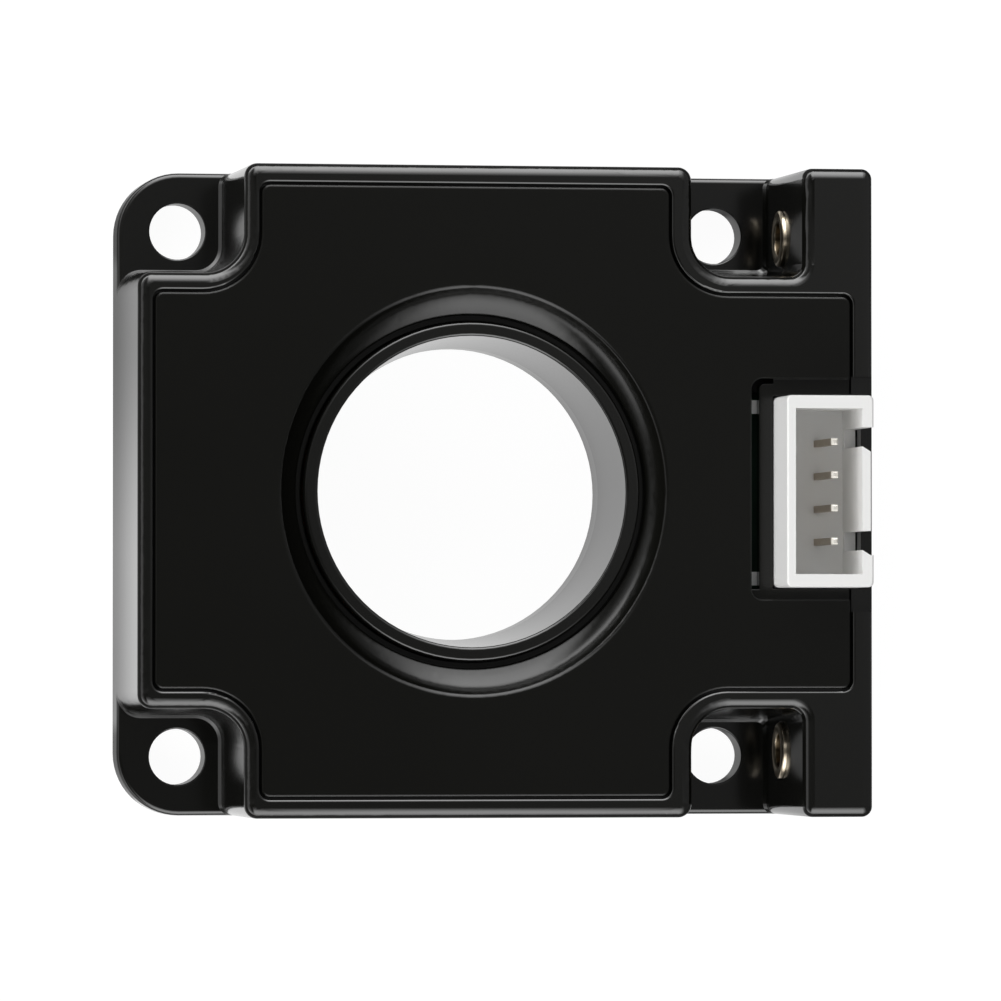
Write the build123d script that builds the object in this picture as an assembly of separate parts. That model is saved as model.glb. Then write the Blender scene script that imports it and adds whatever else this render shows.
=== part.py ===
from build123d import *
import os

# Closed-loop Hall effect current transducer, lying on its back.
# The origin is on the bore axis at the back face, +Z comes out of the front,
# +X points to the mounting foot with the connector and +Y is up in the front view.
# All sizes are millimetres.

# Moulded case
DEPTH = 21.0             # back face to front rim
FLANGE_T = 3.5           # mounting flange
FLANGE_R = 6.1           # left corners of the flange
HALF_HEIGHT = 31.5       # neck and foot, at the front
NOTCH_DEPTH = 10.6       # from the neck's end back to the middle band, at the front
BODY_LEFT = 32.55
NECK_LEFT = 22.25
NECK_RIGHT = 21.4
FOOT_INNER = 32.4
FOOT_RIGHT = 39.25
NOTCH_R = 3.9            # hollow corners between neck and band
ROUND_R = 1.3            # full corners of the case
FOOT_R = 1.0             # corners of the foot
POCKET_R = 1.3           # corners between foot and band
OUTER_DRAFT = 0.15       # how far an outer wall spreads down to the flange
NOTCH_DRAFT = 0.75       # the same for the band's walls in the left notches
POCKET_DRAFT = 1.2       # the same for its walls in the right ones
FOOT_DRAFT = 0.4         # the same for the foot's inner wall
ROOT_NOTCH_R = 2.6       # the corners at the flange, where the drafted walls end
ROOT_ROUND_R = 2.4
ROOT_POCKET_R = 0.6
ROOT_CHAMFER = 0.3       # small slope at the foot of the notch walls
RIM_ROUND = 1.05
FLANGE_ROUND = 0.5
RIM_INNER_ROUND = 0.25
FLOOR_T = 2.0
WALL_T = 3.0             # case wall below the cover seat

# Panel holes in the flange
HOLE_R = 2.75
HOLE_X = 26.75
HOLE_FROM_END = 5.75
HOLE_ROUND = 0.15

# Primary bore and its collar
THROAT_R = 14.3
THROAT_LOW = 5.0
THROAT_HIGH = 8.0
BORE_FRONT_R = 15.05
BORE_BACK_R = 15.4
BORE_BACK_ROUND = 0.3
COLLAR_R = 16.4
COLLAR_BELOW_RIM = 1.3
COLLAR_ROUND = 0.3

# Front cover
COVER_T = 2.0
COVER_BELOW_RIM = 0.1
COVER_CLEAR = 0.2
RIM_LEFT = 1.6           # rim width left of each panel, and so on round the case
RIM_RIGHT = 2.25
RIM_BAND = 1.85
RIM_END = 2.05
COVER_ROUND = 0.25
COVER_CORNER_R = 0.8
DISH_X = 18.8            # the dish's outer edge is an upright ellipse
DISH_Y = 19.7
DISH_HOLE_R = 17.1
DISH_EDGE_BELOW_COLLAR = 0.9
DISH_MID_DEPTH = 0.6     # the dish's wall is hollow: at this share of its depth
DISH_MID_WIDTH = 0.4     # it has come in only by this share of its width
LIP_T = 1.3
LIP_WALL = 1.5
LEDGE_CLEAR = 0.15       # the lip's foot nearly meets the collar
LEDGE_T = 0.5
DISH_ROUND = 0.35
DISH_HOLE_ROUND = 0.2

# Connector window and bezel in the cover
WINDOW_LEFT = 27.2
WINDOW_HALF = 10.75
WINDOW_R = 1.1
BEZEL_DROP = 0.75
BEZEL_SLOT = 0.9         # the slot left of the bezel
BEZEL_SLOT_TOP = 0.5
BEZEL_SLOT_END = 9.4     # how far down it goes
WINDOW_UP = 0.3          # the window sits a little above the header's middle
RIM_GAP_LOW = 11.6       # where the rim goes on below the window
BEZEL_SLOT_REACH = 2.3   # how far the slot's top goes towards the header

# Header
HEADER_LEFT = 29.55
HEADER_RIGHT = 38.05
HEADER_HALF = 9.25
HEADER_ABOVE_RIM = 5.8
HEADER_LEFT_WALL = 0.85
HEADER_RIGHT_WALL = 1.1
HEADER_END_WALL = 1.25
HEADER_CAVITY = 9.6
HEADER_CLEAR = 0.1
HEADER_R = 0.5
SLOT_W = 2.35
SLOT_Y = 5.0
SLOT_DEPTH = 8.8
SLOT_SLANT_X = 0.8       # slanted inner corner of each slot
SLOT_SLANT_Y = 0.5
TAB_Y = 8.35
TAB_W = 1.3
TAB_T = 1.2
TAB_BELOW_COVER = 0.4
SETBACK = 0.3            # the right wall between its two slots is thinner
PIN_W = 0.64
PIN_PITCH = 3.2
PIN_COUNT = 4
PIN_X = 34.4
PIN_ABOVE_RIM = 5.0
PIN_TAIL = 1.8
PIN_TIP = 0.16

# Threaded inserts in the foot
INSERT_FROM_END = 6.35
INSERT_HEIGHT = 10.4
INSERT_FLANGE_R = 2.75
INSERT_FLANGE_T = 0.6
INSERT_BARREL_R = 2.3
INSERT_BARREL_L = 6.0
INSERT_HOLE_R = 1.65
INSERT_CLEAR = 0.05
INSERT_CHAMFER = 0.3
SCREW_EXIT_R = 2.15
SPOT_FACE_CLEAR = 0.15
SPOT_FACE_SINK = 0.08

# Magnetic circuit, from the collar outwards
FIT = 0.1
WINDING_GAP = 0.3
WINDING_T = 1.0
CORE_CASE_T = 0.8
CORE_WIDTH = 4.9
CORE_HEIGHT = 10.4
CORE_GAP = 1.6
WINDING_ARC = 316
CORE_CASE_ROUND = 0.4
WINDING_ROUND = 1.2
LEAD_NOTCH_W = 1.8

# Circuit board and what it carries
BOARD_T = 1.6
BOARD_BELOW_RIM = 5.5
BOARD_CLEAR = 0.35
POST_X = 33.3
POST_Y = 16.0
POST_R = 1.6
STAKE_R = 0.8
STAKE_H = 0.5

# Hall element
HALL_T = 1.2
HALL_W = 3.0
HALL_H = 4.1
HALL_LEAD = 0.4
HALL_LEAD_PITCH = 1.27
HALL_BEND_PITCH = 0.9

# Small parts on the board
IC_SIZE = (4.0, 5.0, 1.5)
IC_LEGS = 4
TRANSISTOR_SIZE = (2.6, 4.5, 1.5)
TRANSISTOR_LEGS = 3
CAN_R = 2.5
CAN_H = 7.0
CHIP_SIZE = (1.6, 0.8, 0.55)
CHIP_PITCH = 1.35
CHIP_COUNT = 4
PART_SPACE = 0.6         # board space between neighbours
HEADER_SPACE = 0.35      # board space above and below the header
LEG_T = 0.2
LEG_REACH = 0.6
SMALL_ROUND = 0.2
TRIM = 2.0               # overlap of a body that is cut to length
WIRE_R = 0.3
WIRE_RUN = 2.4
WIRE_BEND = 0.45

# Levels that follow from the sizes above
RIM = DEPTH
BAND_HALF = HALF_HEIGHT - NOTCH_DEPTH
HOLE_Y = HALF_HEIGHT - HOLE_FROM_END
INSERT_Y = HALF_HEIGHT - INSERT_FROM_END
COVER_TOP = RIM - COVER_BELOW_RIM
COVER_BOTTOM = COVER_TOP - COVER_T
COLLAR_TOP = RIM - COLLAR_BELOW_RIM
BOARD_TOP = RIM - BOARD_BELOW_RIM
BOARD_BOTTOM = BOARD_TOP - BOARD_T
HEADER_TOP = RIM + HEADER_ABOVE_RIM
WINDOW_TOP = WINDOW_UP + WINDOW_HALF
WINDOW_LOW = WINDOW_UP - WINDOW_HALF
BEZEL_BRIDGE = WINDOW_LEFT + BEZEL_SLOT_REACH
WINDING_INNER = COLLAR_R + WINDING_GAP
CORE_CASE_INNER = WINDING_INNER + WINDING_T + FIT
CORE_INNER = CORE_CASE_INNER + CORE_CASE_T + FIT
CORE_OUTER = CORE_INNER + CORE_WIDTH
CORE_CASE_OUTER = CORE_OUTER + FIT + CORE_CASE_T
WINDING_OUTER = CORE_CASE_OUTER + FIT + WINDING_T
WINDING_BOTTOM = FLOOR_T + WINDING_GAP
CORE_CASE_BOTTOM = WINDING_BOTTOM + WINDING_T + FIT
CORE_BOTTOM = CORE_CASE_BOTTOM + CORE_CASE_T + FIT
CORE_TOP = CORE_BOTTOM + CORE_HEIGHT
CORE_CASE_TOP = CORE_TOP + FIT + CORE_CASE_T
WINDING_TOP = CORE_CASE_TOP + FIT + WINDING_T
CORE_MIDDLE = (CORE_BOTTOM + CORE_TOP) / 2


def rounded(corners, z):
    """Face at height z through (x, y, radius) corners."""
    line = FilletPolyline(*[(x, y) for x, y, _ in corners],
                          radius=[r for _, _, r in corners], close=True)
    return Pos(0, 0, z) * make_face(line)


def mirrored(upper):
    """Closed list of corners from its upper half, given from right to left."""
    return upper + [(x, -y, r) for x, y, r in reversed(upper)]


def rim_face(z):
    """Front outline of the case at the rim."""
    return rounded(mirrored([
        (FOOT_RIGHT + TRIM, HALF_HEIGHT, 0),
        (FOOT_INNER, HALF_HEIGHT, FOOT_R),
        (FOOT_INNER, BAND_HALF, POCKET_R),
        (NECK_RIGHT, BAND_HALF, NOTCH_R),
        (NECK_RIGHT, HALF_HEIGHT, ROUND_R),
        (-NECK_LEFT, HALF_HEIGHT, ROUND_R),
        (-NECK_LEFT, BAND_HALF, NOTCH_R),
        (-BODY_LEFT, BAND_HALF, ROUND_R),
    ]), z)


def root_face(z, foot_out):
    """The same outline spread by its drafts, its notch walls moved out by foot_out more."""
    notch = BAND_HALF + NOTCH_DRAFT + foot_out
    pocket = BAND_HALF + POCKET_DRAFT + foot_out
    foot = FOOT_INNER - FOOT_DRAFT - foot_out
    neck_right = NECK_RIGHT + OUTER_DRAFT + foot_out
    neck_left = -NECK_LEFT - OUTER_DRAFT - foot_out
    return rounded(mirrored([
        (FOOT_RIGHT + TRIM, HALF_HEIGHT, 0),
        (foot, HALF_HEIGHT, FOOT_R),
        (foot, pocket, ROOT_POCKET_R),
        (neck_right, pocket, ROOT_NOTCH_R - foot_out),
        (neck_right, HALF_HEIGHT, ROUND_R),
        (neck_left, HALF_HEIGHT, ROUND_R),
        (neck_left, notch, ROOT_NOTCH_R - foot_out),
        (-BODY_LEFT - OUTER_DRAFT, notch, ROOT_ROUND_R),
    ]), z)


def panel_face(z, grow):
    """Outline of the inset cover, or of its seat and the hollow below it, grown by grow."""
    neck_top = HALF_HEIGHT - RIM_END + grow
    band = BAND_HALF - RIM_BAND + grow
    neck_right = NECK_RIGHT - RIM_RIGHT + grow
    neck_left = -NECK_LEFT + RIM_LEFT - grow
    full = max(COVER_CORNER_R + grow, SMALL_ROUND)
    hollow = NOTCH_R + RIM_BAND - grow
    return rounded(mirrored([
        (FOOT_RIGHT - RIM_RIGHT + grow, band, full),
        (neck_right, band, hollow),
        (neck_right, neck_top, full),
        (neck_left, neck_top, full),
        (neck_left, band, hollow),
        (-BODY_LEFT + RIM_LEFT - grow, band, full),
    ]), z)


def block(x0, x1, y0, y1, z0, z1):
    """Box between two opposite corners."""
    size = Box(x1 - x0, y1 - y0, z1 - z0, align=Align.MIN)
    return Pos(x0, y0, z0) * size


def tube(outer, inner, z0, z1):
    """Ring about the bore axis."""
    height = z1 - z0
    ring = Cylinder(outer, height, align=(Align.CENTER, Align.CENTER, Align.MIN))
    ring -= Cylinder(inner, height, align=(Align.CENTER, Align.CENTER, Align.MIN))
    return Pos(0, 0, z0) * ring


def turned(points):
    """Solid of revolution about the bore axis through (radius, height) points."""
    return revolve(make_face(Plane.XZ * Polyline(*points, close=True)), Axis.Z)


def edges_at(shape, z):
    """Edges that lie wholly at height z."""
    return shape.edges().filter_by(
        lambda e: abs(e.bounding_box().min.Z - z) < 1e-4 and abs(e.bounding_box().max.Z - z) < 1e-4)


def bore_cutter():
    """Through bore: it narrows from both faces to a short cylindrical throat."""
    over = BORE_BACK_ROUND
    return turned([
        (0, 0), (BORE_BACK_R, 0), (THROAT_R, THROAT_LOW),
        (THROAT_R, THROAT_HIGH), (BORE_FRONT_R, COLLAR_TOP),
        (BORE_FRONT_R, RIM + over), (0, RIM + over),
    ])


def header_pocket(clear, z0, z1):
    """Space that the header body takes, grown by a clearance."""
    return block(HEADER_LEFT - clear, HEADER_RIGHT + clear,
                 -HEADER_HALF - clear, HEADER_HALF + clear, z0, z1)


def insert_axis(y):
    """Frame on the spot face in the foot's inner wall, its z axis into the foot, along +X."""
    spot_top = INSERT_HEIGHT + INSERT_FLANGE_R + SPOT_FACE_CLEAR
    wall = FOOT_INNER - FOOT_DRAFT * (RIM - spot_top) / (RIM - FLANGE_T) + SPOT_FACE_SINK
    return Plane(origin=(wall, y, INSERT_HEIGHT), x_dir=(0, 1, 0), z_dir=(1, 0, 0))


def case_outside():
    """Flange and drafted case body with the rounded rim, still solid."""
    left = -BODY_LEFT - OUTER_DRAFT
    flange = extrude(rounded(mirrored([(FOOT_RIGHT + TRIM, HALF_HEIGHT, 0),
                                       (left, HALF_HEIGHT, FLANGE_R)]), 0), FLANGE_T)
    flange = fillet(edges_at(flange, FLANGE_T).filter_by(
        lambda e: e.bounding_box().min.X < FOOT_RIGHT), FLANGE_ROUND)
    body = loft([root_face(FLANGE_T, ROOT_CHAMFER), root_face(FLANGE_T + ROOT_CHAMFER, 0),
                 rim_face(RIM)], ruled=True)
    case = flange + extrude(root_face(0, ROOT_CHAMFER), FLANGE_T) + body
    case -= block(FOOT_RIGHT, FOOT_RIGHT + 2 * TRIM, -2 * HALF_HEIGHT, 2 * HALF_HEIGHT, -TRIM, RIM + TRIM)
    case = fillet(case.edges().filter_by(
        lambda e: e.bounding_box().min.X > FOOT_RIGHT - SMALL_ROUND and e.length < RIM + TRIM), FOOT_R)
    return fillet(edges_at(case, RIM), RIM_ROUND)


def make_housing():
    """Case: flange, foot, cover seat, hollow, collar, board posts and header pocket."""
    seat = panel_face(COVER_BOTTOM, COVER_CLEAR)
    hollow = panel_face(FLOOR_T, -(WALL_T - RIM_BAND))
    case = case_outside()
    case -= extrude(seat, RIM - COVER_BOTTOM)
    rim_face = case.faces().sort_by(Axis.Z)[-1]
    case = fillet(rim_face.inner_wires()[0].edges(), RIM_INNER_ROUND)
    case -= extrude(hollow, COVER_BOTTOM - FLOOR_T)
    case += tube(COLLAR_R, THROAT_R, 0, COLLAR_TOP)
    for side in (-1, 1):
        foot = (POST_X, side * POST_Y)
        case += Pos(*foot, FLOOR_T) * Cylinder(
            POST_R, BOARD_BOTTOM - FLOOR_T, align=(Align.CENTER, Align.CENTER, Align.MIN))
        case += Pos(*foot, BOARD_BOTTOM) * Cylinder(
            STAKE_R, BOARD_T + STAKE_H, align=(Align.CENTER, Align.CENTER, Align.MIN))
    case -= bore_cutter()
    case -= block(FOOT_RIGHT - RIM_RIGHT - COVER_CLEAR, FOOT_RIGHT + RIM_ROUND,
                  -RIM_GAP_LOW, WINDOW_TOP + COVER_CLEAR, COVER_TOP - BEZEL_DROP, RIM + RIM_ROUND)
    case -= header_pocket(HEADER_CLEAR, BOARD_TOP - HEADER_CLEAR, HEADER_TOP)
    for x in (-HOLE_X, HOLE_X):
        for y in (-HOLE_Y, HOLE_Y):
            case -= Pos(x, y, FLANGE_T / 2) * Cylinder(HOLE_R, 2 * FLANGE_T)
    for side in (-1, 1):
        axis = insert_axis(side * INSERT_Y)
        length = INSERT_BARREL_L + INSERT_CLEAR
        case -= axis * Cylinder(INSERT_FLANGE_R + SPOT_FACE_CLEAR, INSERT_FLANGE_T,
                                align=(Align.CENTER, Align.CENTER, Align.MAX))
        case -= axis * Cylinder(INSERT_BARREL_R + INSERT_CLEAR, 2 * length)
        case -= axis * Cylinder(SCREW_EXIT_R, 4 * length)
    return round_housing(case)


def round_housing(case):
    """Breaks the edges of the panel holes, the collar and the bore's back mouth."""
    holes = edges_at(case, FLANGE_T).filter_by(GeomType.CIRCLE).filter_by(
        lambda e: abs(e.radius - HOLE_R) < FIT)
    case = fillet(holes, HOLE_ROUND)
    collar = edges_at(case, COLLAR_TOP).filter_by(GeomType.CIRCLE)
    case = fillet(collar, COLLAR_ROUND)
    mouth = edges_at(case, 0).filter_by(GeomType.CIRCLE).filter_by(
        lambda e: abs(e.radius - BORE_BACK_R) < FIT)
    return fillet(mouth, BORE_BACK_ROUND)


def dish(bottom):
    """Bowl from the round hole out to the oval edge, its wall hollow and steepest at the edge."""
    middle = COVER_TOP - DISH_MID_DEPTH * (COVER_TOP - bottom)
    oval = Ellipse(DISH_X - DISH_MID_WIDTH * (DISH_X - DISH_HOLE_R),
                   DISH_Y - DISH_MID_WIDTH * (DISH_Y - DISH_HOLE_R))
    return loft([Pos(0, 0, bottom) * make_face(Circle(DISH_HOLE_R).edge()),
                 Pos(0, 0, middle) * make_face(oval.edge()),
                 Pos(0, 0, COVER_TOP) * make_face(Ellipse(DISH_X, DISH_Y).edge())])


def make_cover():
    """Inset cover with the dished opening round the collar and the connector bezel."""
    cover = extrude(panel_face(COVER_BOTTOM, 0), COVER_T)
    cover = fillet(edges_at(cover, COVER_TOP), COVER_ROUND)
    dish_bottom = COLLAR_TOP - DISH_EDGE_BELOW_COLLAR
    lip_bottom = dish_bottom - LIP_T
    cover += tube(DISH_HOLE_R + LIP_WALL, COLLAR_R + LEDGE_CLEAR, lip_bottom, COVER_TOP - SMALL_ROUND)
    cover -= Pos(0, 0, lip_bottom + LEDGE_T) * Cylinder(
        DISH_HOLE_R, DEPTH, align=(Align.CENTER, Align.CENTER, Align.MIN))
    cover -= dish(dish_bottom)
    cover = fillet(edges_at(cover, COVER_TOP).filter_by(GeomType.BSPLINE), DISH_ROUND)
    cover = fillet(edges_at(cover, dish_bottom), DISH_HOLE_ROUND)
    right = FOOT_RIGHT
    sunk = rounded([(right, WINDOW_TOP, 0), (WINDOW_LEFT, WINDOW_TOP, WINDOW_R),
                    (WINDOW_LEFT, WINDOW_LOW, WINDOW_R), (right, WINDOW_LOW, 0)],
                   COVER_TOP - BEZEL_DROP)
    cover -= extrude(sunk, BEZEL_DROP + RIM_ROUND)
    slot = rounded([(BEZEL_BRIDGE, WINDOW_TOP, 0), (WINDOW_LEFT, WINDOW_TOP, WINDOW_R),
                    (WINDOW_LEFT, -BEZEL_SLOT_END, 0), (BEZEL_BRIDGE, -BEZEL_SLOT_END, 0)],
                   COVER_BOTTOM)
    slot -= rounded([(right, WINDOW_TOP - BEZEL_SLOT_TOP, 0),
                     (WINDOW_LEFT + BEZEL_SLOT, WINDOW_TOP - BEZEL_SLOT_TOP, WINDOW_R / 2),
                     (WINDOW_LEFT + BEZEL_SLOT, -HALF_HEIGHT, 0), (right, -HALF_HEIGHT, 0)],
                    COVER_BOTTOM)
    cover -= extrude(slot, COVER_T)
    opening = header_pocket(HEADER_CLEAR, COVER_BOTTOM, HEADER_TOP)
    return cover - opening - Pos(2 * HEADER_CLEAR, 0, 0) * opening - Pos(RIM_RIGHT, 0, 0) * opening


def make_header():
    """Shrouded header: open cavity, two polarising slots in the right wall, two latch tabs."""
    body = header_pocket(0, BOARD_TOP, HEADER_TOP)
    body = fillet(body.edges().filter_by(Axis.Z), HEADER_R)
    body = fillet(edges_at(body, HEADER_TOP), SMALL_ROUND)
    floor = HEADER_TOP - HEADER_CAVITY
    body -= block(HEADER_LEFT + HEADER_LEFT_WALL, HEADER_RIGHT - HEADER_RIGHT_WALL,
                  -HEADER_HALF + HEADER_END_WALL, HEADER_HALF - HEADER_END_WALL, floor, HEADER_TOP)
    wall = HEADER_RIGHT - HEADER_RIGHT_WALL
    cut = HEADER_TOP - SLOT_DEPTH
    body -= block(HEADER_RIGHT - SETBACK, HEADER_RIGHT, -SLOT_Y, SLOT_Y, cut, HEADER_TOP)
    for side in (-1, 1):
        low = side * SLOT_Y - SLOT_W / 2
        slot = make_face(Polyline(
            (wall, low + SLOT_SLANT_Y), (wall + SLOT_SLANT_X, low), (HEADER_RIGHT, low),
            (HEADER_RIGHT, low + SLOT_W), (wall, low + SLOT_W), close=True))
        body -= Pos(0, 0, cut) * extrude(slot, SLOT_DEPTH)
        tab_top = COVER_BOTTOM - TAB_BELOW_COVER
        body += block(WINDOW_LEFT + COVER_CLEAR, HEADER_LEFT + SMALL_ROUND,
                      side * TAB_Y - TAB_W / 2, side * TAB_Y + TAB_W / 2, tab_top - TAB_T, tab_top)
    for y in pin_rows():
        body -= block(PIN_X - PIN_W / 2, PIN_X + PIN_W / 2, y - PIN_W / 2, y + PIN_W / 2,
                      BOARD_TOP, floor)
    return body


def pin_rows():
    """Y positions of the header pins, from the top one down."""
    return [PIN_PITCH * ((PIN_COUNT - 1) / 2 - i) for i in range(PIN_COUNT)]


def make_pin(y):
    """Square pin from its solder tail to its chamfered tip."""
    pin = block(PIN_X - PIN_W / 2, PIN_X + PIN_W / 2, y - PIN_W / 2, y + PIN_W / 2,
                BOARD_BOTTOM - PIN_TAIL, RIM + PIN_ABOVE_RIM)
    return chamfer(edges_at(pin, RIM + PIN_ABOVE_RIM), PIN_TIP)


def make_insert(y):
    """Flanged brass insert: its flange stands on the foot's inner wall, its barrel goes in."""
    flange = Cylinder(INSERT_FLANGE_R, INSERT_FLANGE_T, align=(Align.CENTER, Align.CENTER, Align.MAX))
    flange = chamfer(edges_at(flange, -INSERT_FLANGE_T), INSERT_CHAMFER / 2)
    barrel = Cylinder(INSERT_BARREL_R, INSERT_BARREL_L, align=(Align.CENTER, Align.CENTER, Align.MIN))
    insert = flange + barrel - Cylinder(INSERT_HOLE_R, 3 * INSERT_BARREL_L)
    mouth = edges_at(insert, -INSERT_FLANGE_T).sort_by(Edge.length)[0]
    return insert_axis(y) * chamfer(mouth, INSERT_CHAMFER)


def make_core():
    """Magnetic ring with a parallel air gap on the connector side."""
    core = tube(CORE_OUTER, CORE_INNER, CORE_BOTTOM, CORE_TOP)
    return core - block(0, WINDING_OUTER, -CORE_GAP / 2, CORE_GAP / 2, 0, CORE_TOP)


def make_core_case(front):
    """One half of the insulating core case, an open ring tray with the notch for the element."""
    shell = tube(CORE_CASE_OUTER, CORE_CASE_INNER, CORE_CASE_BOTTOM, CORE_CASE_TOP)
    rims = edges_at(shell, CORE_CASE_BOTTOM) + edges_at(shell, CORE_CASE_TOP)
    shell = fillet(rims, CORE_CASE_ROUND)
    shell -= tube(CORE_OUTER + FIT, CORE_INNER - FIT, CORE_BOTTOM - FIT, CORE_TOP + FIT)
    half = LEAD_NOTCH_W / 2
    shell -= block(CORE_OUTER, WINDING_OUTER, -half, half,
                   CORE_MIDDLE - HALL_H / 2, CORE_MIDDLE + HALL_H / 2)
    reach = WINDING_OUTER
    if front:
        return shell - block(-reach, reach, -reach, reach, 0, CORE_MIDDLE)
    return shell - block(-reach, reach, -reach, reach, CORE_MIDDLE, WINDING_TOP)


def winding_profile():
    """Section of the winding: a rounded frame about the section of the core case."""
    def frame_face(grow, radius):
        inner = CORE_CASE_INNER - FIT - grow
        outer = CORE_CASE_OUTER + FIT + grow
        low = CORE_CASE_BOTTOM - FIT - grow
        high = CORE_CASE_TOP + FIT + grow
        return rounded([(outer, high, radius), (inner, high, radius),
                        (inner, low, radius), (outer, low, radius)], 0)
    return Plane.XZ * (frame_face(WINDING_T, WINDING_ROUND) - frame_face(0, SMALL_ROUND))


def make_winding():
    """Compensation winding, laid round the core case and open at the air gap."""
    coil = revolve(winding_profile(), Axis.Z, WINDING_ARC)
    return Rot(0, 0, (360 - WINDING_ARC) / 2) * coil


def board_outline(z):
    """Board outline: it fills the hollow beside the winding."""
    board = panel_face(z, -(WALL_T - RIM_BAND) - BOARD_CLEAR)
    reach = 2 * WINDING_OUTER
    board -= Pos(0, 0, z) * Circle(WINDING_OUTER + BOARD_CLEAR)
    keep = Pos(board_left() + reach / 2, 0, z) * Rectangle(reach, 2 * POST_Y + 2 * POST_R)
    return board & keep


def board_left():
    """X at which the board's two horns end."""
    return NECK_RIGHT + ROUND_R


def make_board():
    """Circuit board with its holes for the stakes and the pins."""
    board = extrude(board_outline(BOARD_BOTTOM), BOARD_T)
    for side in (-1, 1):
        board -= Pos(POST_X, side * POST_Y, BOARD_BOTTOM) * Cylinder(STAKE_R + FIT, 4 * BOARD_T)
    for y in pin_rows():
        hole = PIN_W / 2 + FIT
        board -= block(PIN_X - hole, PIN_X + hole, y - hole, y + hole, BOARD_BOTTOM, BOARD_TOP)
    return board


def make_hall_element():
    """Flat Hall element in the air gap, with three leads bent up to the board."""
    middle = (CORE_INNER + CORE_OUTER) / 2
    low = CORE_MIDDLE - HALL_H / 2
    body = block(middle - HALL_W / 2, middle + HALL_W / 2, -HALL_T / 2, HALL_T / 2, low, low + HALL_H)
    half = HALL_LEAD / 2
    nearest = WINDING_OUTER + BOARD_CLEAR + HALL_BEND_PITCH
    for i in range(3):
        z = CORE_MIDDLE + (1 - i) * HALL_LEAD_PITCH
        x = nearest + i * HALL_BEND_PITCH
        body += block(middle, x + half, -half, half, z - half, z + half)
        body += block(x - half, x + half, -half, half, z - half, BOARD_BOTTOM)
    return body


def make_lead(side):
    """Winding end: it leaves the coil's end face, turns out and rises to the board."""
    end = Rot(0, 0, side * (360 - WINDING_ARC) / 2) * Location((WINDING_OUTER - WINDING_T / 2, 0, 0))
    start = end.position + Vector(0, 0, CORE_MIDDLE)
    out = start + Vector(2 * WIRE_R, -side * WIRE_RUN, 0)
    up = Vector(WINDING_OUTER + BOARD_CLEAR + 4 * WIRE_R, out.Y, CORE_MIDDLE)
    top = Vector(up.X, up.Y, BOARD_BOTTOM)
    path = FilletPolyline(start, out, up, top, radius=WIRE_BEND)
    section = Plane(origin=start, z_dir=path % 0) * Circle(WIRE_R)
    return sweep(section, path)


def leaded_chip(x, y, size, legs):
    """Small outline package on the board, legs on both long sides."""
    wide, tall, height = size
    lift = LEG_T
    body = block(x - wide / 2, x + wide / 2, y - tall / 2, y + tall / 2,
                 BOARD_TOP + lift, BOARD_TOP + height)
    body = chamfer(edges_at(body, BOARD_TOP + height), SMALL_ROUND)
    for i in range(legs):
        leg_y = y + (i - (legs - 1) / 2) * tall / legs
        body += block(x - wide / 2 - LEG_REACH, x + wide / 2 + LEG_REACH,
                      leg_y - LEG_T, leg_y + LEG_T, BOARD_TOP, BOARD_TOP + 2 * lift)
    return body


def make_amplifier():
    """Amplifier beside the header, on the stake's side of the board."""
    x = POST_X - STAKE_R - PART_SPACE - IC_SIZE[0] / 2
    y = HEADER_HALF + HEADER_SPACE + IC_SIZE[1] / 2
    return leaded_chip(x, y, IC_SIZE, IC_LEGS)


def make_transistor(place):
    """One of the two driver transistors, counted from the board's outer edge."""
    pitch = TRANSISTOR_SIZE[0] + 2 * LEG_REACH + PART_SPACE / 2
    x = POST_X - place * pitch
    y = -(HEADER_HALF + HEADER_SPACE + TRANSISTOR_SIZE[1] / 2)
    return leaded_chip(x, y, TRANSISTOR_SIZE, TRANSISTOR_LEGS)


def make_can(side):
    """Electrolytic capacitor hanging below the board, sleeve rounded at its end."""
    x = POST_X - POST_R - CAN_R
    can = Pos(x, side * (HEADER_HALF + CAN_R), BOARD_BOTTOM - CAN_H) * Cylinder(
        CAN_R, CAN_H, align=(Align.CENTER, Align.CENTER, Align.MIN))
    return fillet(edges_at(can, BOARD_BOTTOM - CAN_H), SMALL_ROUND)


def make_chips(side):
    """Row of chip parts above or below the header on the board's top face."""
    wide, tall, height = CHIP_SIZE
    x = WINDING_OUTER + BOARD_CLEAR
    row = Part()
    for i in range(CHIP_COUNT):
        y = side * (HEADER_HALF + HEADER_SPACE + tall / 2 + CHIP_PITCH * i)
        row += block(x - wide / 2, x + wide / 2, y - tall / 2, y + tall / 2,
                     BOARD_TOP, BOARD_TOP + height)
    return row


def build_parts():
    """All pieces by node name."""
    parts = {
        "housing": make_housing(),
        "front_cover": make_cover(),
        "header_shell": make_header(),
        "insert_upper": make_insert(INSERT_Y),
        "insert_lower": make_insert(-INSERT_Y),
        "magnetic_core": make_core(),
        "core_case_back": make_core_case(False),
        "core_case_front": make_core_case(True),
        "secondary_winding": make_winding(),
        "circuit_board": make_board(),
        "hall_element": make_hall_element(),
        "winding_lead_start": make_lead(1),
        "winding_lead_finish": make_lead(-1),
        "amplifier_ic": make_amplifier(),
        "driver_transistor_1": make_transistor(0),
        "driver_transistor_2": make_transistor(1),
        "electrolytic_capacitor_1": make_can(1),
        "electrolytic_capacitor_2": make_can(-1),
        "chip_resistors": make_chips(1),
        "chip_capacitors": make_chips(-1),
    }
    for number, y in enumerate(pin_rows(), 1):
        parts[f"header_pin_{number}"] = make_pin(y)
    return parts


os.makedirs("parts", exist_ok=True)
for name, shape in build_parts().items():
    export_step(shape, f"parts/{name}.step")
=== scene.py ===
import bmesh
import bpy
from math import cos, pi, radians, sin, tau
from mathutils import Matrix, Vector


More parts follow.
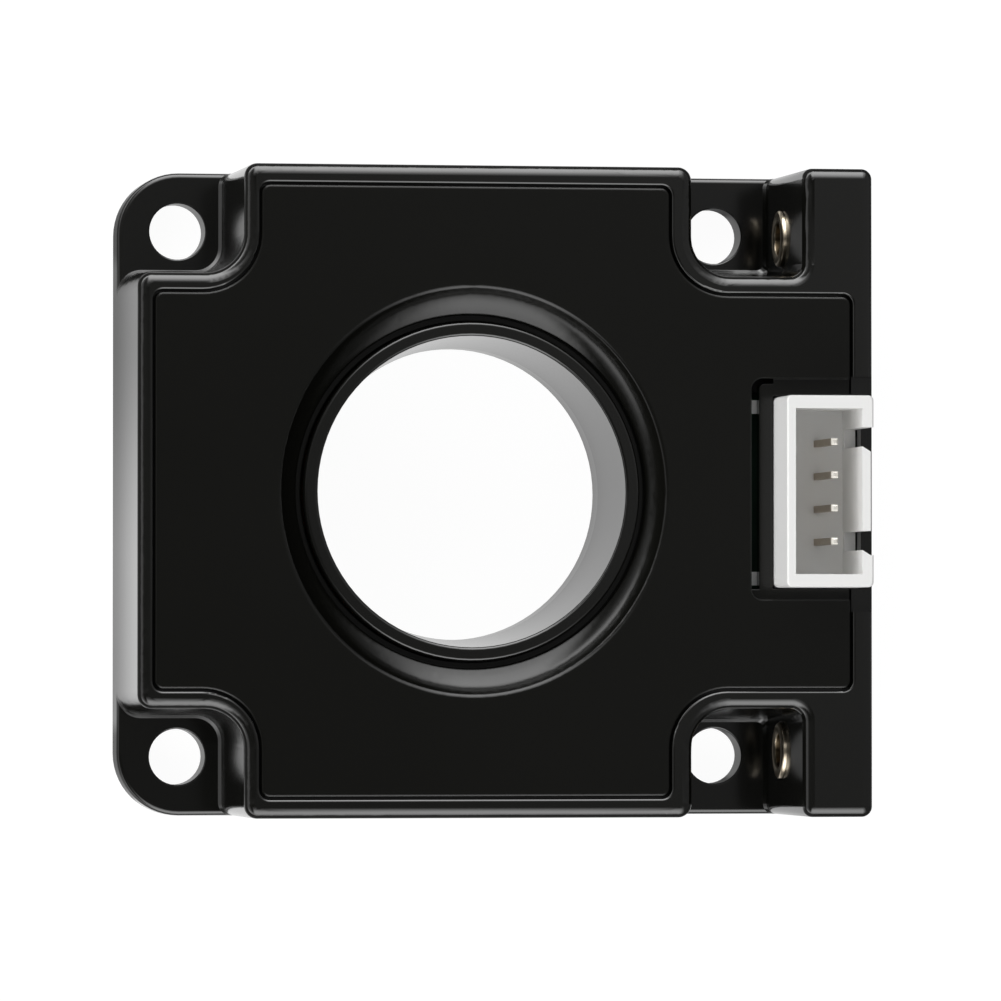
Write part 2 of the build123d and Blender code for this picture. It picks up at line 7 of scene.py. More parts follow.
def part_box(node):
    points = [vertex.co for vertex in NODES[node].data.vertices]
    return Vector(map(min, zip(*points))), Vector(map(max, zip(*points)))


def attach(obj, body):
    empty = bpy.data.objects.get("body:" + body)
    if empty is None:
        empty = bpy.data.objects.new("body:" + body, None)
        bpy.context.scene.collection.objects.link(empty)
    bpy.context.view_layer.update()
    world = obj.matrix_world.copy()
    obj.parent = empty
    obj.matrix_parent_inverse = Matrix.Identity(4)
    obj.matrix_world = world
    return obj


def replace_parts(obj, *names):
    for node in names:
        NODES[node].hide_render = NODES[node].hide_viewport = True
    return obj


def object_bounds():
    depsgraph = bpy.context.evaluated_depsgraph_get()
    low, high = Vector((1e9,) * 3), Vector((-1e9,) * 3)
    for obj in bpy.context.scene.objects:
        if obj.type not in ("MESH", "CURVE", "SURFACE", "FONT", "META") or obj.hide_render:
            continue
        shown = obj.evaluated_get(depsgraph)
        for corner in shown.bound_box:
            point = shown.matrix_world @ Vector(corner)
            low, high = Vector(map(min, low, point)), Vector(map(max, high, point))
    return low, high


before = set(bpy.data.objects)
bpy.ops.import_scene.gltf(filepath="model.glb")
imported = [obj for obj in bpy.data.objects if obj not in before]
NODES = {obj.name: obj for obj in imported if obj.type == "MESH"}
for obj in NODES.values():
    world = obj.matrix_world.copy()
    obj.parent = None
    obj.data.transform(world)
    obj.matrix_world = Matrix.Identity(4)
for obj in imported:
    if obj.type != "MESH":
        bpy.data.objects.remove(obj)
cad_low, cad_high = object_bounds()
MM = 0.001


def mm(*lengths):
    """Lengths in millimetres, turned into metres."""
    return tuple(length * MM for length in lengths)


# Camera: beside the bore axis, looking down on the front
CAMERA_AT = Vector((-118.23, -16.37, 770.31)) * MM
CAMERA_AIM = Vector((2.53, -0.89, 21.0)) * MM
CAMERA_LENS = 283.2
CAMERA_SENSOR = 36.0
CAMERA_NEAR = 0.05
CAMERA_FAR = 20.0

# Softboxes: azimuth and elevation in degrees, their distance, size and level
SOFTBOX_TOP = (-17, 32)
SOFTBOX_BOTTOM = (197, 36)
LAMP_REACH = 0.62
LAMP_LENGTH = 1.10
LAMP_HEIGHT = 0.42
LAMP_LEVEL = 1.65

# Light of the surroundings, brighter from the left
SKY_FILL = 0.28
SKY_SIDE = 1.2
SKY_SIDE_X = (-0.75, -0.10)

# Mirror image of the surroundings: strengths, and the directions between which each part fades
MIRROR_ABOVE = 0.045
SHEEN_RIGHT = 3.8
SHEEN_RIGHT_X = (0.09, 0.22)
SHEEN_UPPER = 2.4
SHEEN_UPPER_Y = (-0.05, 0.08)
MIRROR_LEFT = 0.7
LEFT_X = (-0.75, -0.30)
LEFT_HIGH_Z = (0.30, 0.62)
LEFT_LOW_Z = (-0.10, 0.05)
MIRROR_TOP = 5.8
TOP_Y = (0.15, 0.95)
TOP_Z = (-0.30, 0.25)
MIRROR_BOTTOM = 3.9
BOTTOM_Y = (-0.80, -0.15)
BOTTOM_Z = (-0.30, 0.50)
BOX_RIGHT_X = (0.15, 0.70)
BOX_LEFT_X = (-0.50, -0.20)
BOX_LOW_Z = (0.10, 0.34)

# Floor
FLOOR_SIZE = 8.0
FLOOR_GAP = 0.02 * MM
FLOOR_GREY = 0.10
FLOOR_ROUGH = 0.9
FLOOR_GLOW = 0.96

# Painted shade in the floor's mirror image: the share of its glow that is left, and where it fades, from
# the bore axis
BORE_EDGE = 0.62
BORE_EDGE_R = mm(10.5, 15)
BORE_END_R = mm(16, 20)
BORE_RIGHT = 0.82
BORE_RIGHT_X = mm(3, 13)
HOLE_ROW = 0.42
HOLE_ROW_Y = mm(22, 24)
HOLE_END_Y = mm(29, 31)
FOOT_HOLE = 0.35
FOOT_HOLE_X = mm(18, 20)
FOOT_HOLE_WALL_X = mm(28.0, 28.9)
UPPER_LEFT = 0.52
UPPER_LEFT_Y = mm(-8, 16)

# The same painted shade beside the object, with lengths from its sides
BESIDE = mm(-2.5, 3)
CONTACT = 0.42
CONTACT_X = mm(-3, 0)
FAR_LEFT = 0.05
FAR_LEFT_X = mm(-16, -7)
FAR_RIGHT = 0.10
FAR_RIGHT_X = mm(-6, 0)
FAR_END = 0.08
FAR_LOW_Y = mm(-12, -1)
FAR_HIGH_Y = mm(1, 12)

# Finishes
SMOOTH_ANGLE = radians(32)
RELIEF = 0.02 * MM
FLOW_SCALE = 45.0
PIN_COUNT = 4
# Pins turn pale and less metallic over this length below their top
PIN_PALE_TOP = mm(0.55, 0.40)
PIN_PALE_TOP_METALLIC = 0.45

# Threaded inserts
INSERT_BORE = 1.65 * MM
INSERT_BARREL = 2.3 * MM
INSERT_FLANGE = 0.6 * MM
LIP_DEPTH = 0.26 * MM
LIP_STEPS = 12
LIP_SHARP = radians(40)
TURN_STEPS = 96
THREAD_PITCH = 0.7 * MM
THREAD_DEPTH = 0.22 * MM
THREAD_ROOT = 0.01 * MM
THREAD_HALF_WIDTH = 0.45
THREAD_STEPS = 40
THREAD_SHARP = radians(30)
# Painted shade inside an insert's hole: its colour, and the depth and wall distance over which it sets in
HOLE_SHADE_COLOUR = (0.10, 0.075, 0.045)
HOLE_SHADE_DEPTH = mm(0.10, 0.30)
HOLE_SHADE_WALL = mm(0.02, 0.16)


def links(tree):
    """Short way to join two sockets of a node tree."""
    return lambda out, into: tree.links.new(out, into)


def make_group(name, inputs, outputs):
    """New shader group with its sockets: inputs as (name, type, default), outputs as (name, type)."""
    tree = bpy.data.node_groups.new(name, "ShaderNodeTree")
    for label, kind, default in inputs:
        socket = tree.interface.new_socket(label, in_out="INPUT", socket_type=kind)
        socket.default_value = default
    for label, kind in outputs:
        tree.interface.new_socket(label, in_out="OUTPUT", socket_type=kind)
    return tree, tree.nodes.new("NodeGroupInput"), tree.nodes.new("NodeGroupOutput")


def mould_grain_group():
    """Fine grain of a spark-eroded mould: a height and a roughness that vary over the surface."""
    tree, given, result = make_group(
        "mould_grain",
        [("Scale", "NodeSocketFloat", 4000.0), ("Rough low", "NodeSocketFloat", 0.4),
         ("Rough high", "NodeSocketFloat", 0.5)],
        [("Height", "NodeSocketFloat"), ("Roughness", "NodeSocketFloat")])
    join = links(tree)
    place = tree.nodes.new("ShaderNodeTexCoord")
    grain = tree.nodes.new("ShaderNodeTexNoise")
    grain.inputs["Detail"].default_value = 3.0
    pits = tree.nodes.new("ShaderNodeTexVoronoi")
    both = tree.nodes.new("ShaderNodeMath")
    both.operation = "MULTIPLY_ADD"
    both.inputs[1].default_value = 0.35
    patches = tree.nodes.new("ShaderNodeTexNoise")
    patches.inputs["Scale"].default_value = 60.0
    patches.inputs["Detail"].default_value = 2.0
    spread = tree.nodes.new("ShaderNodeMapRange")
    join(place.outputs["Object"], grain.inputs["Vector"])
    join(place.outputs["Object"], pits.inputs["Vector"])
    join(place.outputs["Object"], patches.inputs["Vector"])
    join(given.outputs["Scale"], grain.inputs["Scale"])
    join(given.outputs["Scale"], pits.inputs["Scale"])
    join(pits.outputs["Distance"], both.inputs[0])
    join(grain.outputs["Fac"], both.inputs[2])
    join(both.outputs[0], result.inputs["Height"])
    join(patches.outputs["Fac"], spread.inputs["Value"])
    join(given.outputs["Rough low"], spread.inputs["To Min"])
    join(given.outputs["Rough high"], spread.inputs["To Max"])
    join(spread.outputs["Result"], result.inputs["Roughness"])
    return tree


def flow_tint_group():
    """Slow colour change that a moulding or a coating has over its length."""
    tree, given, result = make_group(
        "flow_tint",
        [("Scale", "NodeSocketFloat", 40.0), ("Color one", "NodeSocketColor", (0, 0, 0, 1)),
         ("Color two", "NodeSocketColor", (0, 0, 0, 1))],
        [("Color", "NodeSocketColor")])
    join = links(tree)
    place = tree.nodes.new("ShaderNodeTexCoord")
    cloud = tree.nodes.new("ShaderNodeTexNoise")
    cloud.inputs["Detail"].default_value = 3.0
    mix = tree.nodes.new("ShaderNodeMix")
    mix.data_type = "RGBA"
    join(place.outputs["Object"], cloud.inputs["Vector"])
    join(given.outputs["Scale"], cloud.inputs["Scale"])
    join(cloud.outputs["Fac"], mix.inputs["Factor"])
    join(given.outputs["Color one"], mix.inputs["A"])
    join(given.outputs["Color two"], mix.inputs["B"])
    join(mix.outputs["Result"], result.inputs["Color"])
    return tree


def turned_marks_group():
    """Fine rings that a turning tool leaves on metal, about the X axis through a centre."""
    tree, given, result = make_group(
        "turned_marks",
        [("Centre", "NodeSocketVector", (0, 0, 0)), ("Scale", "NodeSocketFloat", 900.0)],
        [("Height", "NodeSocketFloat")])
    join = links(tree)
    place = tree.nodes.new("ShaderNodeTexCoord")
    shift = tree.nodes.new("ShaderNodeVectorMath")
    shift.operation = "SUBTRACT"
    rings = tree.nodes.new("ShaderNodeTexWave")
    rings.wave_type = "RINGS"
    rings.rings_direction = "X"
    rings.inputs["Distortion"].default_value = 0.4
    join(place.outputs["Object"], shift.inputs[0])
    join(given.outputs["Centre"], shift.inputs[1])
    join(shift.outputs["Vector"], rings.inputs["Vector"])
    join(given.outputs["Scale"], rings.inputs["Scale"])
    join(rings.outputs["Fac"], result.inputs["Height"])
    return tree


GROUPS = {"grain": mould_grain_group(), "tint": flow_tint_group(), "turned": turned_marks_group()}


def use_group(tree, key, **values):
    """Places a shared group in a material with its own values."""
    node = tree.nodes.new("ShaderNodeGroup")
    node.node_tree = GROUPS[key]
    for label, value in values.items():
        node.inputs[label.replace("_", " ")].default_value = value
    return node


def faded(tree, source, start, end, low, high):
    """Value that runs from low to high while the source runs from start to end."""
    fade = tree.nodes.new("ShaderNodeMapRange")
    fade.interpolation_type = "SMOOTHSTEP"
    fade.inputs["From Min"].default_value = start
    fade.inputs["From Max"].default_value = end
    fade.inputs["To Min"].default_value = low
    fade.inputs["To Max"].default_value = high
    tree.links.new(source, fade.inputs["Value"])
    return fade.outputs["Result"]


def combined(tree, operation, one, other):
    """Two sockets joined by one Math node."""
    node = tree.nodes.new("ShaderNodeMath")
    node.operation = operation
    tree.links.new(one, node.inputs[0])
    tree.links.new(other, node.inputs[1])
    return node.outputs[0]


def times(tree, one, other):
    """Product of two sockets."""
    return combined(tree, "MULTIPLY", one, other)


def plus(tree, one, other):
    """Sum of two sockets."""
    return combined(tree, "ADD", one, other)


def maximum(tree, one, other):
    """Larger of two sockets."""
    return combined(tree, "MAXIMUM", one, other)


def distance(tree, place):
    """Length of the vector in a socket."""
    length = tree.nodes.new("ShaderNodeVectorMath")
    length.operation = "LENGTH"
    tree.links.new(place, length.inputs[0])
    return length.outputs["Value"]


def separated(tree, place):
    """Node that splits a vector's socket into X, Y and Z."""
    split = tree.nodes.new("ShaderNodeSeparateXYZ")
    tree.links.new(place, split.inputs[0])
    return split


def mixed_colour(tree, factor, one, other):
    """Colour that goes from a socket's to a plain one as the factor rises."""
    mix = tree.nodes.new("ShaderNodeMix")
    mix.data_type = "RGBA"
    mix.inputs["B"].default_value = (*other, 1)
    tree.links.new(factor, mix.inputs["Factor"])
    tree.links.new(one, mix.inputs["A"])
    return mix.outputs["Result"]


def relief(tree, strength, height):
    """Bump node that raises the surface by a socket's height."""
    bump = tree.nodes.new("ShaderNodeBump")
    bump.inputs["Strength"].default_value = strength
    bump.inputs["Distance"].default_value = RELIEF
    tree.links.new(height, bump.inputs["Height"])
    return bump


def plain_material(name, **sockets):
    """Material with one Principled shader whose own sockets take the plain values."""
    material = bpy.data.materials.new(name)
    material.use_nodes = True
    shader = material.node_tree.nodes["Principled BSDF"]
    for label, value in sockets.items():
        shader.inputs[label.replace("_", " ")].default_value = value
    return material, shader


def moulded(name, colours, rough, grain_scale, grain_height, edge=0.0, **sockets):
    """Moulded or coated surface: flowing tint, patchy roughness, grain in relief and softened edges."""
    material, shader = plain_material(name, **sockets)
    tree = material.node_tree
    join = links(tree)
    tint = use_group(tree, "tint", Scale=FLOW_SCALE, Color_one=(*colours[0], 1), Color_two=(*colours[1], 1))
    grain = use_group(tree, "grain", Scale=grain_scale, Rough_low=rough[0], Rough_high=rough[1])
    bump = relief(tree, grain_height, grain.outputs["Height"])
    join(tint.outputs["Color"], shader.inputs["Base Color"])
    join(grain.outputs["Roughness"], shader.inputs["Roughness"])
    if edge:
        softened = tree.nodes.new("ShaderNodeBevel")
        softened.inputs["Radius"].default_value = edge
        join(softened.outputs["Normal"], bump.inputs["Normal"])
    join(bump.outputs["Normal"], shader.inputs["Normal"])
    return material


def hole_painted_shade(tree, centre, mouth):
    """Mask of the painted shade in an insert's hole: 1 on its wall below the mouth, 0 on the lip and
    outside.
    """
    join = links(tree)
    place = tree.nodes.new("ShaderNodeTexCoord")
    off = tree.nodes.new("ShaderNodeVectorMath")
    off.operation = "SUBTRACT"
    off.inputs[1].default_value = centre
    across = tree.nodes.new("ShaderNodeVectorMath")
    across.operation = "MULTIPLY"
    across.inputs[1].default_value = (0, 1, 1)
    join(place.outputs["Object"], off.inputs[0])
    join(off.outputs["Vector"], across.inputs[0])
    depth = separated(tree, place.outputs["Object"]).outputs["X"]
    radius = distance(tree, across.outputs["Vector"])
    shallow, deep = (mouth + length for length in HOLE_SHADE_DEPTH)
    near, far = (INSERT_BORE + length for length in HOLE_SHADE_WALL)
    return times(tree, faded(tree, depth, shallow, deep, 0.0, 1.0),
                 faded(tree, radius, near, far, 1.0, 0.0))


def turned_metal(name, colours, centre, mouth, rough):
    """Turned and plated metal with fine rings about the X axis, and painted shade inside its hole: a dark
    colour deeper than the mouth.
    """
    material, shader = plain_material(name, Metallic=1.0)
    tree = material.node_tree
    join = links(tree)
    tint = use_group(tree, "tint", Scale=600.0, Color_one=(*colours[0], 1), Color_two=(*colours[1], 1))
    grain = use_group(tree, "grain", Scale=3000.0, Rough_low=rough[0], Rough_high=rough[1])
    marks = use_group(tree, "turned", Centre=centre, Scale=900.0)
    # Base colour painted dark inside the hole as shade
    colour = mixed_colour(tree, hole_painted_shade(tree, centre, mouth), tint.outputs["Color"], HOLE_SHADE_COLOUR)
    bump = relief(tree, 0.25, marks.outputs["Height"])
    join(colour, shader.inputs["Base Color"])
    join(grain.outputs["Roughness"], shader.inputs["Roughness"])
    join(bump.outputs["Normal"], shader.inputs["Normal"])
    return material


def pin_metal(top):
    """Bronze-toned pins that turn pale and less metallic over their top."""
    material, shader = plain_material("pin_metal")
    tree = material.node_tree
    join = links(tree)
    place = tree.nodes.new("ShaderNodeTexCoord")
    height = separated(tree, place.outputs["Object"]).outputs["Z"]
    low, high = (top - length for length in PIN_PALE_TOP)
    tip = faded(tree, height, low, high, 0.0, 1.0)
    body = use_group(tree, "tint", Scale=900.0, Color_one=(0.42, 0.34, 0.24, 1),
                     Color_two=(0.30, 0.23, 0.15, 1))
    grain = use_group(tree, "grain", Scale=2500.0, Rough_low=0.24, Rough_high=0.34)
    join(mixed_colour(tree, tip, body.outputs["Color"], (0.86, 0.83, 0.76)), shader.inputs["Base Color"])
    join(faded(tree, height, low, high, 1.0, PIN_PALE_TOP_METALLIC), shader.inputs["Metallic"])
    join(grain.outputs["Roughness"], shader.inputs["Roughness"])
    return material


def assign(names, material):
    """Gives CAD nodes their finish and smooth shading across gentle edges."""
    for name in names:
        mesh = NODES[name].data
        mesh.materials.clear()
        mesh.materials.append(material)
        mesh.shade_smooth()
        mesh.set_sharp_from_angle(angle=SMOOTH_ANGLE)


def finished_mesh(name, form, material, sharp):
    """Object made from a bmesh, with outward faces and smooth shading below the sharp angle."""
    mesh = bpy.data.meshes.new(name)
    bmesh.ops.recalc_face_normals(form, faces=form.faces)
    form.to_mesh(mesh)
    form.free()
    piece = bpy.data.objects.new(name, mesh)
    bpy.context.scene.collection.objects.link(piece)
    mesh.materials.append(material)
    mesh.shade_smooth()
    mesh.set_sharp_from_angle(angle=sharp)
    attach(piece, "root")
    return piece


def ring_of(form, steps, i, axis, points):
    """Vertices of a profile of (x, radius) points, turned about the X axis to step i."""
    angle = tau * i / steps
    y, z = axis
    return [form.verts.new((x, y + radius * cos(angle), z + radius * sin(angle))) for x, radius in points]


def join_rings(form, one, other):
    """Closed band of faces between two turned profiles."""
    for k in range(len(one)):
        last = (k + 1) % len(one)
        form.faces.new((one[k], one[last], other[last], other[k]))


def rounded_insert(name, node, material):
    """Threaded insert as turned: a rounded lip round its mouth, a thin flange and a barrel."""
    low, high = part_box(node)
    axis = ((low.y + high.y) / 2, (low.z + high.z) / 2)
    outer = (high.z - low.z) / 2
    middle, half = (outer + INSERT_BORE) / 2, (outer - INSERT_BORE) / 2
    profile = [(low.x + LIP_DEPTH * (1 - sin(pi * k / LIP_STEPS)), middle - half * cos(pi * k / LIP_STEPS))
               for k in range(LIP_STEPS + 1)]
    profile += [(low.x + INSERT_FLANGE, outer), (low.x + INSERT_FLANGE, INSERT_BARREL),
                (high.x, INSERT_BARREL), (high.x, INSERT_BORE)]
    form = bmesh.new()
    rings = [ring_of(form, TURN_STEPS, i, axis, profile) for i in range(TURN_STEPS)]
    for one, other in zip(rings, rings[1:] + rings[:1]):
        join_rings(form, one, other)
    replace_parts(finished_mesh(name, form, material, LIP_SHARP), node)


def thread_ridge(name, node, material):
    """Helical ridge that stands inward from an insert's bore, along the X axis."""
    low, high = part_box(node)
    axis = ((low.y + high.y) / 2, (low.z + high.z) / 2)
    turns = (high.x - low.x - 2 * THREAD_PITCH) / THREAD_PITCH
    bore = INSERT_BORE + THREAD_ROOT
    half = THREAD_HALF_WIDTH * THREAD_PITCH
    form = bmesh.new()
    rings = []
    for i in range(int(turns * THREAD_STEPS) + 1):
        x = low.x + THREAD_PITCH * (1 + i / THREAD_STEPS)
        ridge = [(x - half, bore), (x, bore - THREAD_DEPTH), (x + half, bore)]
        rings.append(ring_of(form, THREAD_STEPS, i, axis, ridge))
    for one, other in zip(rings, rings[1:]):
        join_rings(form, one, other)
    form.faces.new(rings[0])
    form.faces.new(rings[-1][::-1])
    finished_mesh(name, form, material, THREAD_SHARP)


def dress_case():
    """Finishes of the case, its cover and the header."""
    assign(["housing"], moulded(
        "case_black", ((0.0030, 0.0030, 0.0024), (0.0042, 0.0042, 0.0036)), rough=(0.11, 0.15),
        grain_scale=5200.0, grain_height=0.06, Specular_IOR_Level=0.7))
    assign(["front_cover"], moulded(
        "cover_black", ((0.0034, 0.0034, 0.0027), (0.0045, 0.0045, 0.0038)), rough=(0.14, 0.18),
        grain_scale=5200.0, grain_height=0.06, edge=0.18 * MM, Specular_IOR_Level=0.36))
    assign(["header_shell"], moulded(
        "header_white", ((0.80, 0.80, 0.79), (0.84, 0.84, 0.83)), rough=(0.36, 0.44),
        grain_scale=4200.0, grain_height=0.15))
    assign([f"header_pin_{i}" for i in range(1, PIN_COUNT + 1)],
           pin_metal(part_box("header_pin_1")[1].z))


def dress_inserts():
    """Turned inserts with their threads, in place of the plain ones."""
    for name in ("insert_upper", "insert_lower"):
        low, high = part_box(name)
        brass = turned_metal(f"{name}_brass", ((0.70, 0.62, 0.50), (0.60, 0.51, 0.37)),
                             (low + high) / 2, low.x, rough=(0.24, 0.32))
        assign([name], brass)
        rounded_insert(f"{name}_turned", name, brass)
        thread_ridge(f"{name}_thread", name, brass)


def dress_magnetic_circuit():
    """Finishes of the core, its case and the winding."""
    assign(["magnetic_core"], moulded(
        "core_steel", ((0.42, 0.42, 0.43), (0.34, 0.34, 0.36)), rough=(0.35, 0.5),
        grain_scale=900.0, grain_height=0.4, Metallic=1.0))
    assign(["core_case_back", "core_case_front"], moulded(
        "core_case_dark", ((0.02, 0.02, 0.022), (0.03, 0.03, 0.033)), rough=(0.45, 0.55),
        grain_scale=3000.0, grain_height=0.3))
    assign(["secondary_winding", "winding_lead_start", "winding_lead_finish"], moulded(
        "winding_copper", ((0.40, 0.14, 0.05), (0.50, 0.20, 0.08)), rough=(0.22, 0.32),
        grain_scale=1500.0, grain_height=0.4, Coat_Weight=0.6))


def dress_board():
    """Finishes of the circuit board and what it carries."""
    # The board's green is real, but it is painted much darker than solder mask, as the shade it shows
    # through the gaps
    assign(["circuit_board"], moulded(
        "board_green", ((0.004, 0.022, 0.010), (0.006, 0.030, 0.014)), rough=(0.30, 0.42),
        grain_scale=1200.0, grain_height=0.3))
    assign(["hall_element", "amplifier_ic", "driver_transistor_1", "driver_transistor_2"], moulded(
        "package_black", ((0.012, 0.012, 0.012), (0.018, 0.018, 0.018)), rough=(0.5, 0.6),
        grain_scale=3000.0, grain_height=0.3))
    assign(["electrolytic_capacitor_1", "electrolytic_capacitor_2"], moulded(
        "can_sleeve", ((0.010, 0.010, 0.022), (0.016, 0.016, 0.034)), rough=(0.25, 0.35),
        grain_scale=2000.0, grain_height=0.1))
    assign(["chip_resistors"], moulded(
        "chip_dark", ((0.02, 0.02, 0.02), (0.03, 0.03, 0.03)), rough=(0.3, 0.4),
        grain_scale=2500.0, grain_height=0.2))
    assign(["chip_capacitors"], moulded(
        "chip_tan", ((0.40, 0.27, 0.15), (0.48, 0.34, 0.20)), rough=(0.4, 0.5),
        grain_scale=2500.0, grain_height=0.2))


def place_camera():
    """Long lens beside the bore axis, with the picture's up along +Y."""
    data = bpy.data.cameras.new("camera")
    data.lens = CAMERA_LENS
    data.sensor_width = CAMERA_SENSOR
    data.clip_start = CAMERA_NEAR
    data.clip_end = CAMERA_FAR
    camera = bpy.data.objects.new("camera", data)
    bpy.context.scene.collection.objects.link(camera)
    forward = (CAMERA_AIM - CAMERA_AT).normalized()
    right = forward.cross(Vector((0, 1, 0))).normalized()
    up = right.cross(forward)
    turn = Matrix((right, up, -forward)).transposed()
    camera.matrix_world = Matrix.Translation(CAMERA_AT) @ turn.to_4x4()
    bpy.context.scene.camera = camera


def mirror_ray(tree, path):
    """Socket that is 1 for reflected and for transmitted rays."""
    return maximum(tree, path.outputs["Is Glossy Ray"], path.outputs["Is Transmission Ray"])


def bore_painted_shade(tree, radius, x):
    """Painted shade in the floor's glow as the bore's wall mirrors it: less towards its edge and its right.
    """
    edge = maximum(tree, faded(tree, radius, *BORE_EDGE_R, 1.0, BORE_EDGE),
                   faded(tree, radius, *BORE_END_R, 0.0, 1.0))
    return times(tree, edge, faded(tree, x, *BORE_RIGHT_X, 1.0, BORE_RIGHT))


def holes_painted_shade(tree, x, y):
    """Painted shade in the floor's glow as the walls of the panel holes mirror it, and the foot's wall past
    them.
    """
    side = tree.nodes.new("ShaderNodeMath")
    side.operation = "ABSOLUTE"
    tree.links.new(y, side.inputs[0])
    beyond = faded(tree, side.outputs[0], *HOLE_END_Y, 0.0, 1.0)
    row = maximum(tree, beyond, faded(tree, side.outputs[0], *HOLE_ROW_Y, 1.0, HOLE_ROW))
    foot = maximum(tree, faded(tree, x, *FOOT_HOLE_X, 1.0, FOOT_HOLE),
                   faded(tree, x, *FOOT_HOLE_WALL_X, 0.0, 1.0))
    return times(tree, row, maximum(tree, beyond, foot))


def beside_painted_shade(tree, x, y):
    """Painted shade in the floor's glow as the outer walls mirror it: strong on the left, darker next to
    the left wall's foot and towards its upper end, fading with the distance.
    """
    def past(edge, lengths):
        return tuple(edge + length for length in lengths)

    beside = faded(tree, x, *past(cad_low.x, BESIDE), 0.0, 1.0)
    upper = maximum(tree, beside, faded(tree, y, *UPPER_LEFT_Y, 1.0, UPPER_LEFT))
    contact = maximum(tree, beside, faded(tree, x, *past(cad_low.x, CONTACT_X), 1.0, CONTACT))
    across = times(tree, faded(tree, x, *past(cad_low.x, FAR_LEFT_X), FAR_LEFT, 1.0),
                   faded(tree, x, *past(cad_high.x, FAR_RIGHT_X), 1.0, FAR_RIGHT))
    along = times(tree, faded(tree, y, *past(cad_low.y, FAR_LOW_Y), FAR_END, 1.0),
                  faded(tree, y, *past(cad_high.y, FAR_HIGH_Y), 1.0, FAR_END))
    return times(tree, times(tree, across, along), times(tree, upper, contact))


def floor_material():
    """Pale grey that glows white to the camera, and in mirror images glows with painted shade near the
    object.
    """
    material, shader = plain_material("floor_white", Base_Color=(FLOOR_GREY,) * 3 + (1,),
                                      Roughness=FLOOR_ROUGH, Specular_IOR_Level=0.0)
    tree = material.node_tree
    join = links(tree)
    place = tree.nodes.new("ShaderNodeTexCoord")
    split = separated(tree, place.outputs["Object"])
    x, y = split.outputs["X"], split.outputs["Y"]
    # The floor's mirrored glow carries painted shade: dimmer at the bore's edge, by the holes and at the
    # object's foot
    bore = bore_painted_shade(tree, distance(tree, place.outputs["Object"]), x)
    mirrored = times(tree, beside_painted_shade(tree, x, y), times(tree, bore, holes_painted_shade(tree, x, y)))
    path = tree.nodes.new("ShaderNodeLightPath")
    glow = tree.nodes.new("ShaderNodeEmission")
    strength = tree.nodes.new("ShaderNodeMath")
    strength.operation = "MULTIPLY_ADD"
    strength.inputs[1].default_value = FLOOR_GLOW
    join(path.outputs["Is Camera Ray"], strength.inputs[0])
    join(times(tree, mirror_ray(tree, path), mirrored), strength.inputs[2])
    join(strength.outputs[0], glow.inputs["Strength"])
    both = tree.nodes.new("ShaderNodeAddShader")
    join(shader.outputs[0], both.inputs[0])
    join(glow.outputs[0], both.inputs[1])
    join(both.outputs[0], tree.nodes["Material Output"].inputs["Surface"])
    return material


def make_floor():
    """Square floor just below the object, which keeps the object's shadow."""
    half = FLOOR_SIZE / 2
    mesh = bpy.data.meshes.new("floor")
    mesh.from_pydata([(-half, -half, 0), (half, -half, 0), (half, half, 0), (-half, half, 0)],
                     [], [(0, 1, 2, 3)])
    floor = bpy.data.objects.new("floor", mesh)
    floor.location.z = cad_low.z - FLOOR_GAP
    bpy.context.scene.collection.objects.link(floor)
    mesh.materials.append(floor_material())


def mirrored_sky(tree, x, y, z):
    """Surroundings as the object mirrors them: dim above, bright on the left and behind the softboxes."""
    above = plus(tree, faded(tree, x, *SHEEN_RIGHT_X, MIRROR_ABOVE, SHEEN_RIGHT * MIRROR_ABOVE),
                 faded(tree, y, *SHEEN_UPPER_Y, 0.0, SHEEN_UPPER * MIRROR_ABOVE))
    left = times(tree, faded(tree, x, *LEFT_X, 1.0, 0.0),
                 times(tree, faded(tree, z, *LEFT_HIGH_Z, MIRROR_LEFT, 0.0),
                       faded(tree, z, *LEFT_LOW_Z, 0.0, 1.0)))
    top = times(tree, faded(tree, y, *TOP_Y, 0.0, MIRROR_TOP), faded(tree, z, *TOP_Z, 0.0, 1.0))
    bottom = times(tree, faded(tree, y, *BOTTOM_Y, MIRROR_BOTTOM, 0.0),
                   faded(tree, z, *BOTTOM_Z, 0.0, 1.0))
    width = times(tree, faded(tree, x, *BOX_RIGHT_X, 1.0, 0.0),
                  maximum(tree, faded(tree, x, *BOX_LEFT_X, 0.0, 1.0),
                          faded(tree, z, *BOX_LOW_Z, 1.0, 0.0)))
    return plus(tree, above, plus(tree, left, times(tree, width, plus(tree, top, bottom))))


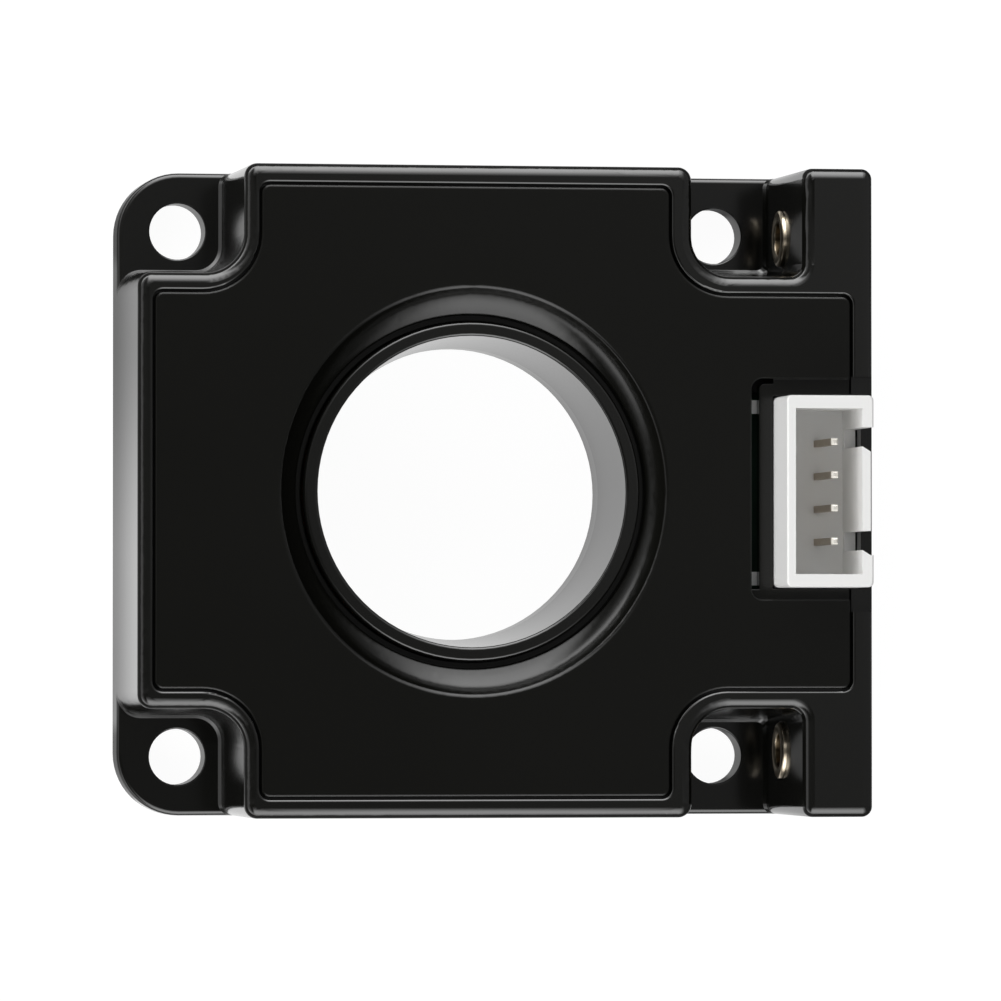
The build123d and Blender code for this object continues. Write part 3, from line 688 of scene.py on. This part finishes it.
def make_world():
    """White to the camera, a soft fill from the left, and its own picture in mirror images."""
    world = bpy.data.worlds.new("studio")
    bpy.context.scene.world = world
    world.use_nodes = True
    tree = world.node_tree
    join = links(tree)
    place = tree.nodes.new("ShaderNodeTexCoord")
    split = separated(tree, place.outputs["Generated"])
    x, y, z = split.outputs["X"], split.outputs["Y"], split.outputs["Z"]
    fill = tree.nodes.new("ShaderNodeMath")
    fill.operation = "ADD"
    fill.inputs[1].default_value = SKY_FILL
    join(faded(tree, x, *SKY_SIDE_X, SKY_SIDE, 0.0), fill.inputs[0])
    path = tree.nodes.new("ShaderNodeLightPath")
    reflected = tree.nodes.new("ShaderNodeMix")
    join(mirror_ray(tree, path), reflected.inputs["Factor"])
    join(fill.outputs[0], reflected.inputs["A"])
    join(mirrored_sky(tree, x, y, z), reflected.inputs["B"])
    seen = tree.nodes.new("ShaderNodeMix")
    seen.inputs["B"].default_value = 1.0
    join(path.outputs["Is Camera Ray"], seen.inputs["Factor"])
    join(reflected.outputs["Result"], seen.inputs["A"])
    sky = tree.nodes["Background"]
    sky.inputs["Color"].default_value = (1, 1, 1, 1)
    join(seen.outputs["Result"], sky.inputs["Strength"])


def softbox(name, azimuth, elevation):
    """Rectangular lamp aimed at the object from a direction; the world stands in for its mirror image."""
    data = bpy.data.lights.new(name, "AREA")
    data.shape = "RECTANGLE"
    data.size = LAMP_LENGTH
    data.size_y = LAMP_HEIGHT
    data.energy = LAMP_LEVEL * pi * LAMP_LENGTH * LAMP_HEIGHT
    lamp = bpy.data.objects.new(name, data)
    bpy.context.scene.collection.objects.link(lamp)
    a, e = radians(azimuth), radians(elevation)
    away = Vector((sin(a) * cos(e), cos(a) * cos(e), sin(e)))
    lamp.location = (cad_low + cad_high) / 2 + away * LAMP_REACH
    lamp.rotation_euler = away.to_track_quat("Z", "Y").to_euler()
    lamp.visible_camera = False
    lamp.visible_glossy = False


def light_scene():
    """Two long softboxes above and below the picture, turned a little to the left."""
    softbox("softbox_top", *SOFTBOX_TOP)
    softbox("softbox_bottom", *SOFTBOX_BOTTOM)


dress_case()
dress_inserts()
dress_magnetic_circuit()
dress_board()
place_camera()
make_floor()
make_world()
light_scene()
bpy.context.scene.view_settings.view_transform = "Standard"
